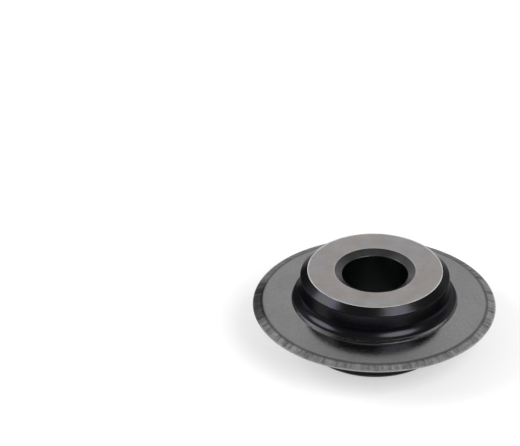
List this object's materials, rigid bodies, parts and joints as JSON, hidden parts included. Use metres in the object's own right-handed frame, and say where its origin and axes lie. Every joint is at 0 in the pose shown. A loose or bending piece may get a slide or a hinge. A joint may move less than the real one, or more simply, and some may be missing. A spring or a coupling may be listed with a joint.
{
  "type": "pipe cutter wheel",
  "caption": "Hardened steel cutting wheel with a sharp double-bevelled edge, long chamfered hub and a plain bore for a pin.",
  "frame": {"origin": "wheel centre, where the bore axis crosses the plane of the cutting edge, which is also the middle of the hub's length", "axes": "+Z along the bore axis, square to the plane of the cutting edge; X and Y lie in that plane, and the wheel is round, so their turn about Z is free"},
  "size_m": [0.0186, 0.0186, 0.0064],
  "materials": {
    "black_oxide_steel": "black oxide on hardened tool steel: ground satin end faces, satin disc sides, ground bevels, glossy turned hub wall"
  },
  "bodies": {
    "root": {"cutter_wheel": "black_oxide_steel"}
  },
  "joints": []
}
